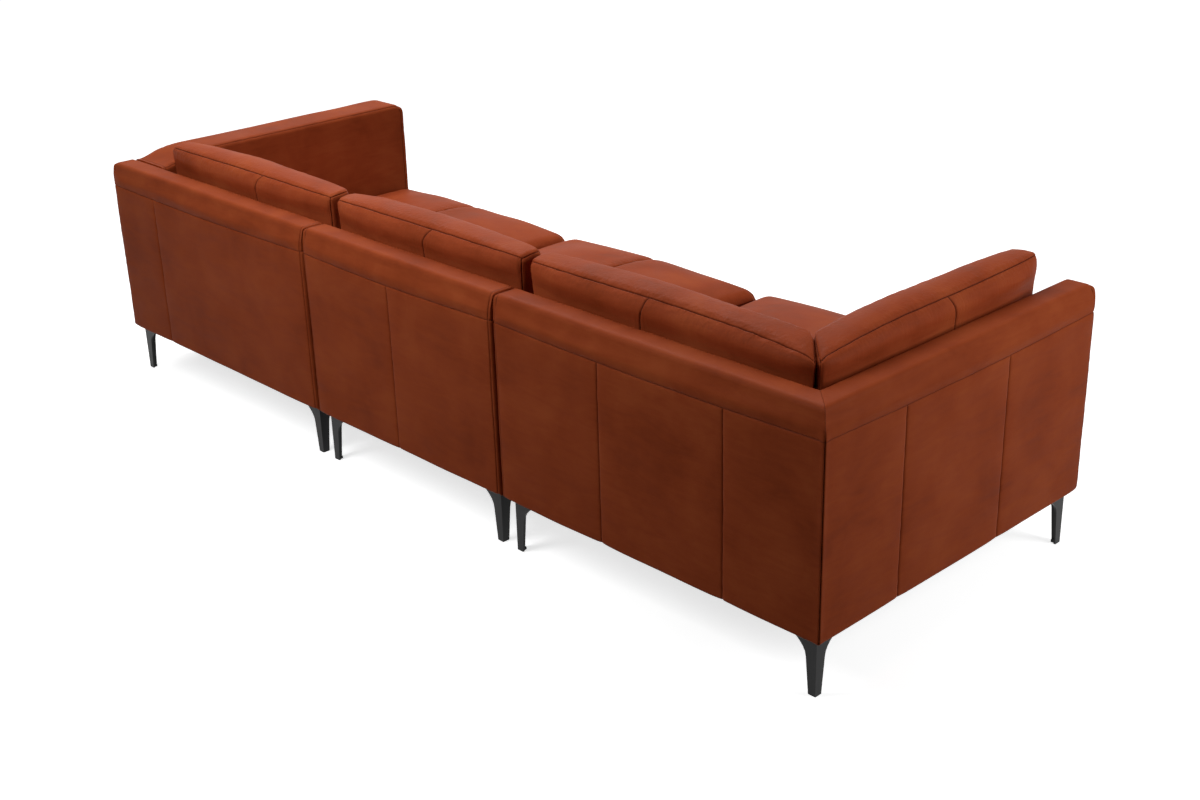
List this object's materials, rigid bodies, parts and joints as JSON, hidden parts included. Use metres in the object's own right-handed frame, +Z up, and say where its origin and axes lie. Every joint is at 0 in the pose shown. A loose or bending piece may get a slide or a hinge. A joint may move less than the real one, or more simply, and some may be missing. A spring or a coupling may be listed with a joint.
{
  "type": "corner sofa",
  "caption": "Leather corner sofa: boxy padded back walls, crowned seat and back cushions, an arm at the far end, a mitred corner, and tapered L-section metal legs.",
  "frame": {"origin": "on the floor, under the middle of the sofa's overall width and depth", "axes": "+X to the sitter's left, from the corner to the arm; +Y to the back wall; +Z up. The seats face -Y"},
  "size_m": [2.659, 0.95, 0.716],
  "materials": {
    "cover_leather": "satin",
    "cushion_leather": "satin",
    "cast_metal": "satin",
    "bracket_steel": "satin",
    "timber": "matte",
    "webbing": "matte",
    "dust_cloth": "matte"
  },
  "bodies": {
    "arm_module": {"arm_back_cover": "cover_leather", "arm_back_frame": "timber", "arm_side_cover": "cover_leather", "arm_side_frame": "timber", "arm_front_band": "cover_leather", "arm_left_band": "cover_leather", "arm_base_frame": "timber", "arm_webbing": "webbing", "arm_dust_cover": "dust_cloth", "arm_leg_back_left": "cast_metal", "arm_leg_back_right": "cast_metal", "arm_leg_front_right": "cast_metal", "arm_leg_front_left": "cast_metal", "arm_peg_plate_back": "bracket_steel", "arm_peg_plate_front": "bracket_steel"},
    "middle_module": {"middle_back_cover": "cover_leather", "middle_back_frame": "timber", "middle_front_band": "cover_leather", "middle_left_band": "cover_leather", "middle_right_band": "cover_leather", "middle_base_frame": "timber", "middle_webbing": "webbing", "middle_dust_cover": "dust_cloth", "middle_leg_back_left": "cast_metal", "middle_leg_back_right": "cast_metal", "middle_leg_front_right": "cast_metal", "middle_leg_front_left": "cast_metal", "middle_peg_plate_back": "bracket_steel", "middle_peg_plate_front": "bracket_steel", "middle_hat_bracket_back": "bracket_steel", "middle_hat_bracket_front": "bracket_steel"},
    "corner_module": {"corner_back_cover": "cover_leather", "corner_back_frame": "timber", "corner_side_cover": "cover_leather", "corner_side_frame": "timber", "corner_front_band": "cover_leather", "corner_right_band": "cover_leather", "corner_base_frame": "timber", "corner_webbing": "webbing", "corner_dust_cover": "dust_cloth", "corner_leg_back_left": "cast_metal", "corner_leg_back_right": "cast_metal", "corner_leg_front_right": "cast_metal", "corner_leg_front_left": "cast_metal", "corner_hat_bracket_back": "bracket_steel", "corner_hat_bracket_front": "bracket_steel"},
    "arm_seat_cushion": {"arm_seat_cushion": "cushion_leather"},
    "arm_back_cushion": {"arm_back_cushion": "cushion_leather"},
    "middle_seat_cushion": {"middle_seat_cushion": "cushion_leather"},
    "middle_back_cushion": {"middle_back_cushion": "cushion_leather"},
    "corner_seat_cushion": {"corner_seat_cushion": "cushion_leather"},
    "corner_back_cushion": {"corner_back_cushion": "cushion_leather"},
    "corner_side_cushion": {"corner_side_cushion": "cushion_leather"}
  },
  "joints": [
    {"name": "middle_unhook", "type": "slide", "parent": "arm_module", "child": "middle_module", "axis": [0, 0, 1], "range_m": [0, 0.06]},
    {"name": "corner_unhook", "type": "slide", "parent": "middle_module", "child": "corner_module", "axis": [0, 0, 1], "range_m": [0, 0.06]},
    {"name": "arm_seat_pull", "type": "slide", "parent": "arm_module", "child": "arm_seat_cushion", "axis": [0, -1, 0], "range_m": [0, 0.5]},
    {"name": "arm_back_lift", "type": "slide", "parent": "arm_module", "child": "arm_back_cushion", "axis": [0, 0, 1], "range_m": [0, 0.3]},
    {"name": "middle_seat_pull", "type": "slide", "parent": "middle_module", "child": "middle_seat_cushion", "axis": [0, -1, 0], "range_m": [0, 0.5]},
    {"name": "middle_back_lift", "type": "slide", "parent": "middle_module", "child": "middle_back_cushion", "axis": [0, 0, 1], "range_m": [0, 0.3]},
    {"name": "corner_seat_pull", "type": "slide", "parent": "corner_module", "child": "corner_seat_cushion", "axis": [0, -1, 0], "range_m": [0, 0.5]},
    {"name": "corner_back_lift", "type": "slide", "parent": "corner_module", "child": "corner_back_cushion", "axis": [0, 0, 1], "range_m": [0, 0.3]},
    {"name": "corner_side_lift", "type": "slide", "parent": "corner_module", "child": "corner_side_cushion", "axis": [0, 0, 1], "range_m": [0, 0.3]}
  ]
}
